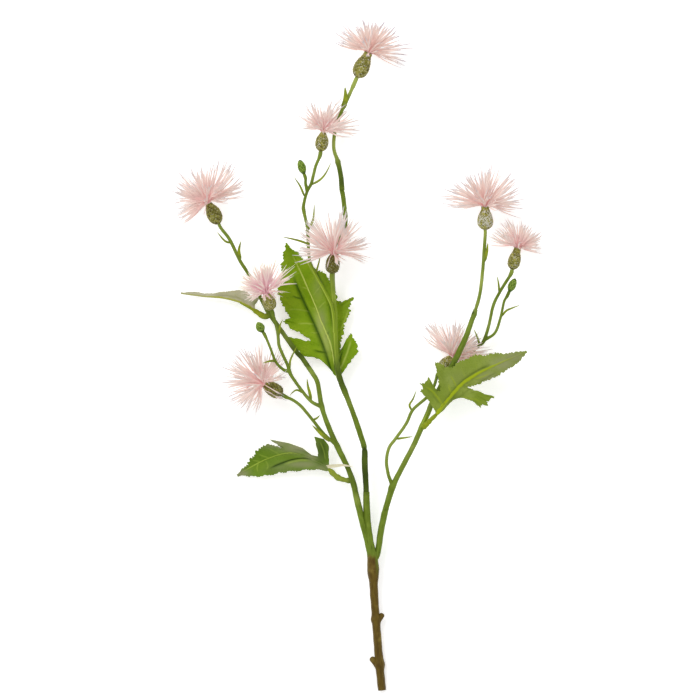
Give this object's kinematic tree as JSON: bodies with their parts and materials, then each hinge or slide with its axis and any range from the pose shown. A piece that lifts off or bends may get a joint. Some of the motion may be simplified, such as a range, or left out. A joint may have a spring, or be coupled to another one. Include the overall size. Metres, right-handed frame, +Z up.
{
  "type": "knapweed spray",
  "caption": "Cut branching knapweed stem lying flat, with pale pink thistle-like flower heads in scaly cups, closed buds and lobed serrated leaves.",
  "frame": {"origin": "centre of the bounding box in plan, at the height of the surface that the spray lies on", "axes": "+Y along the spray from the cut end of the stem to the top head, +X across it to the side of the right branch, +Z up from the surface"},
  "size_m": [0.3734, 0.6738, 0.0732],
  "materials": {
    "stem_green": "matte",
    "stem_brown": "matte",
    "leaf_green": "matte",
    "cup_olive": "matte",
    "floret_pink": "satin",
    "bud_green": "matte"
  },
  "bodies": {
    "root": {"main_stem": "stem_brown", "branch_centre_lower": "stem_green", "branch_centre_middle": "stem_green", "stalk_centre": "stem_green", "branch_top": "stem_green", "branch_left_lower": "stem_green", "branch_left_upper": "stem_green", "branch_right_lower": "stem_green", "branch_right_upper": "stem_green", "leaf_centre": "leaf_green", "leaf_right": "leaf_green", "leaf_lower_left": "leaf_green", "leaf_upper_left": "leaf_green", "cup_top": "cup_olive", "cup_centre_left": "cup_olive", "cup_upper_left": "cup_olive", "cup_centre": "cup_olive", "cup_middle_left": "cup_olive", "cup_lower_left": "cup_olive", "cup_right": "cup_olive", "cup_outer_right": "cup_olive", "cup_lower_right": "cup_olive", "florets_top": "floret_pink", "florets_centre_left": "floret_pink", "florets_upper_left": "floret_pink", "florets_centre": "floret_pink", "florets_middle_left": "floret_pink", "florets_lower_left": "floret_pink", "florets_right": "floret_pink", "florets_outer_right": "floret_pink", "florets_lower_right": "floret_pink", "bud_upper": "bud_green", "bud_left": "bud_green", "bud_right": "bud_green"}
  },
  "joints": []
}
